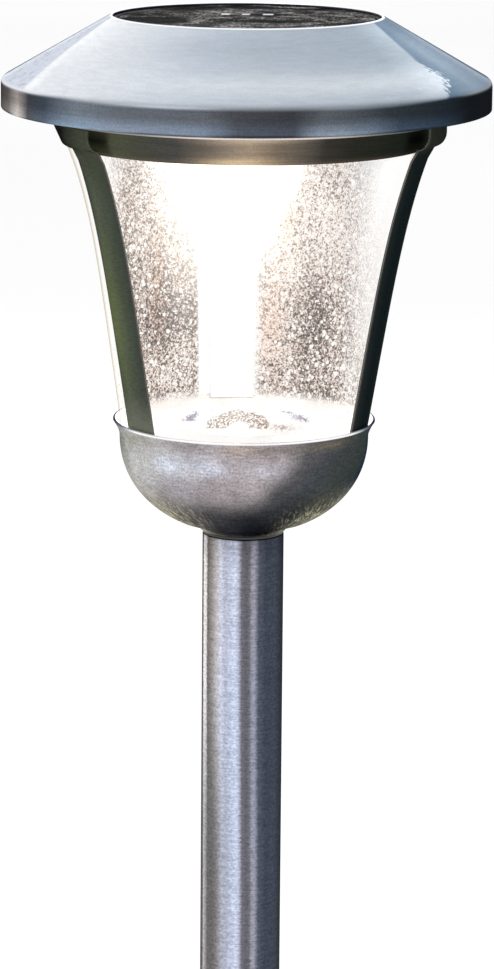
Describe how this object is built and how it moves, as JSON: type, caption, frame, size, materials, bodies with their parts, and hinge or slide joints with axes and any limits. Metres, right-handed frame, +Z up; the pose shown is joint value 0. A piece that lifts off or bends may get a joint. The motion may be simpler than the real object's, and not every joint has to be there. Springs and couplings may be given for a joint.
{
  "type": "solar garden light",
  "caption": "Ground-spike path light: conical steel cap with a round solar window over a flared glass lens in a strap cage, on a bowl and straight pole.",
  "frame": {"origin": "tip of the ground spike, on the pole's axis", "axes": "+Z up along the pole; -Y towards the side seen in the front view"},
  "size_m": [0.15, 0.15, 0.5577],
  "materials": {
    "stainless": "brushed round the axis",
    "reflector": "bright metallised",
    "lens_glass": "clear with small seeds",
    "black_plastic": "fine satin",
    "rubber": "matt",
    "silicone": "translucent white",
    "panel_epoxy": "clear glossy dome over dark cells",
    "solar_cell": "dark blue-black",
    "board": "green solder resist",
    "contact": "nickel plated",
    "battery_jacket": "plain green sleeve",
    "led_epoxy": "warm white",
    "zinc_screw": "zinc plated",
    "red_wire": "satin insulation",
    "black_wire": "satin insulation",
    "switch_nylon": "white"
  },
  "bodies": {
    "spike": {"ground_spike": "black_plastic"},
    "pole": {"pole_tube": "stainless"},
    "spigot": {"pole_spigot": "black_plastic", "clamp_plate": "zinc_screw", "neck_screw": "zinc_screw"},
    "lantern": {"bowl": "stainless", "base_reflector": "reflector", "lens_foot_gasket": "silicone", "lens": "lens_glass", "lens_top_gasket": "silicone", "collar_ring": "stainless", "bayonet_ring": "black_plastic", "strap_left": "stainless", "strap_right": "stainless", "strap_rear": "stainless"},
    "seal": {"cap_seal": "rubber"},
    "cap": {"cap_shell": "stainless", "cap_housing": "black_plastic", "panel_tray": "black_plastic", "panel_board": "board", "panel_cover": "panel_epoxy", "panel_gasket": "rubber", "solar_cell_1": "solar_cell", "solar_cell_2": "solar_cell", "solar_cell_3": "solar_cell", "solar_cell_4": "solar_cell", "battery": "battery_jacket", "battery_plate": "contact", "battery_spring": "contact", "door_pin": "zinc_screw", "circuit_board": "board", "driver_chip": "black_plastic", "inductor": "black_wire", "led": "led_epoxy", "led_reflector": "reflector", "switch_body": "black_plastic", "housing_screw_1": "zinc_screw", "housing_screw_2": "zinc_screw", "housing_screw_3": "zinc_screw", "board_screw_1": "zinc_screw", "board_screw_2": "zinc_screw", "panel_wire_red": "red_wire", "panel_wire_black": "black_wire", "battery_wire_red": "red_wire", "battery_wire_black": "black_wire"},
    "door": {"battery_door": "black_plastic"},
    "switch": {"switch_knob": "switch_nylon"}
  },
  "joints": [
    {"name": "pole_lift", "type": "slide", "parent": "spike", "child": "pole", "axis": [0, 0, 1], "range_m": [0, 0.045]},
    {"name": "head_lift", "type": "slide", "parent": "pole", "child": "spigot", "axis": [0, 0, 1], "range_m": [0, 0.04]},
    {"name": "head_turn", "type": "hinge", "parent": "spigot", "child": "lantern", "pos_m": [0, 0, 0.3976], "axis": [0, 0, 1], "continuous": true},
    {"name": "cap_lift", "type": "slide", "parent": "lantern", "child": "seal", "axis": [0, 0, 1], "range_m": [0, 0.06]},
    {"name": "cap_twist", "type": "hinge", "parent": "seal", "child": "cap", "pos_m": [0, 0, 0.5276], "axis": [0, 0, 1], "range_deg": [-20, 0]},
    {"name": "door_hinge", "type": "hinge", "parent": "cap", "child": "door", "pos_m": [0, 0.012, 0.5212], "axis": [-1, 0, 0], "range_deg": [0, 95]},
    {"name": "switch_slide", "type": "slide", "parent": "cap", "child": "switch", "axis": [1, 0, 0], "range_m": [0, 0.003]}
  ]
}
